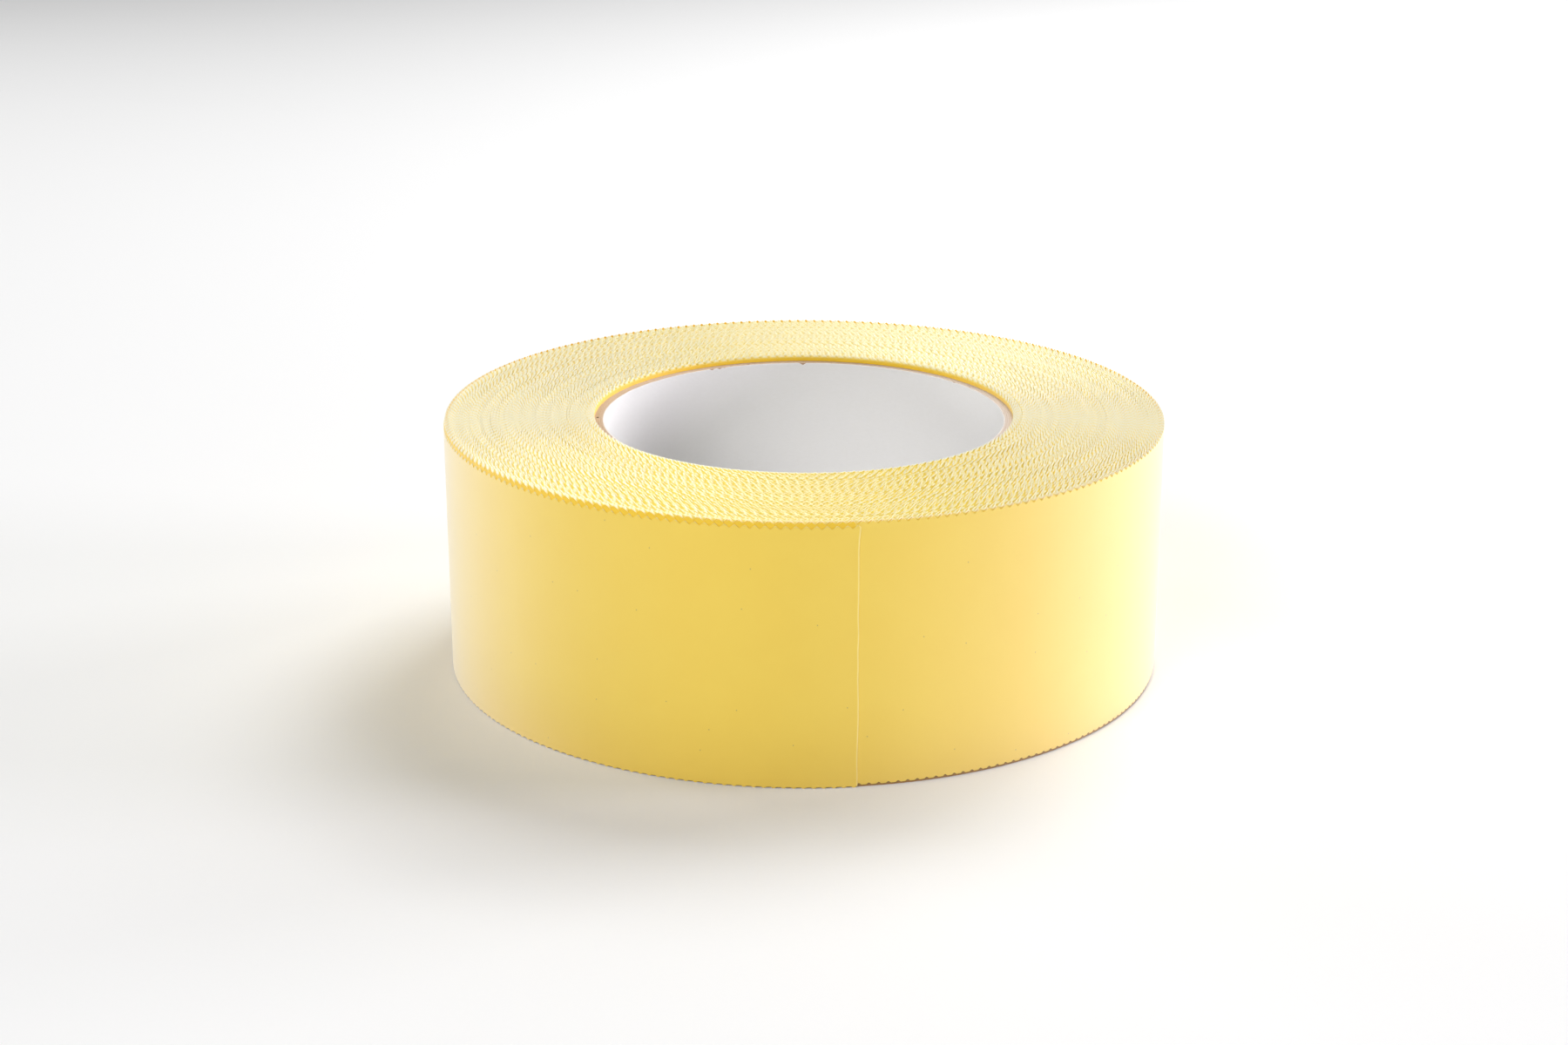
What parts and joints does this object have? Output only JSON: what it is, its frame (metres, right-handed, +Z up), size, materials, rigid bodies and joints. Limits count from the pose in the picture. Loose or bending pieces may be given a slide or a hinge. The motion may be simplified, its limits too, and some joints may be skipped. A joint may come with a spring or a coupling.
{
  "type": "masking tape roll",
  "caption": "Full roll of yellow pinked-edge film masking tape on a spiral-wound paperboard core, with an end that peels.",
  "frame": {"origin": "centre of the face that the roll lies on", "axes": "+Z up along the roll's axis; -Y towards the roll's loose end, which is 7.7 degrees from -Y towards +X; +X to the right as seen from -Y"},
  "size_m": [0.1369, 0.1369, 0.0485],
  "materials": {
    "white_paper": "matt white liner paper",
    "kraft_board": "matt brown kraft board, cut on its edges",
    "yellow_film": "semi-gloss ochre yellow polyethylene film"
  },
  "bodies": {
    "roll": {"core_liner": "white_paper", "core_ply_1": "kraft_board", "core_ply_2": "kraft_board", "core_ply_3": "kraft_board", "core_ply_4": "kraft_board", "tape_wound_turns": "yellow_film", "tape_last_turn": "yellow_film"},
    "loose_end": {"tape_end": "yellow_film"}
  },
  "joints": [
    {"name": "end_peel", "type": "hinge", "parent": "roll", "child": "loose_end", "pos_m": [-0.02024, -0.06546, 0.024], "axis": [0, 0, -1], "range_deg": [0, 120]}
  ]
}
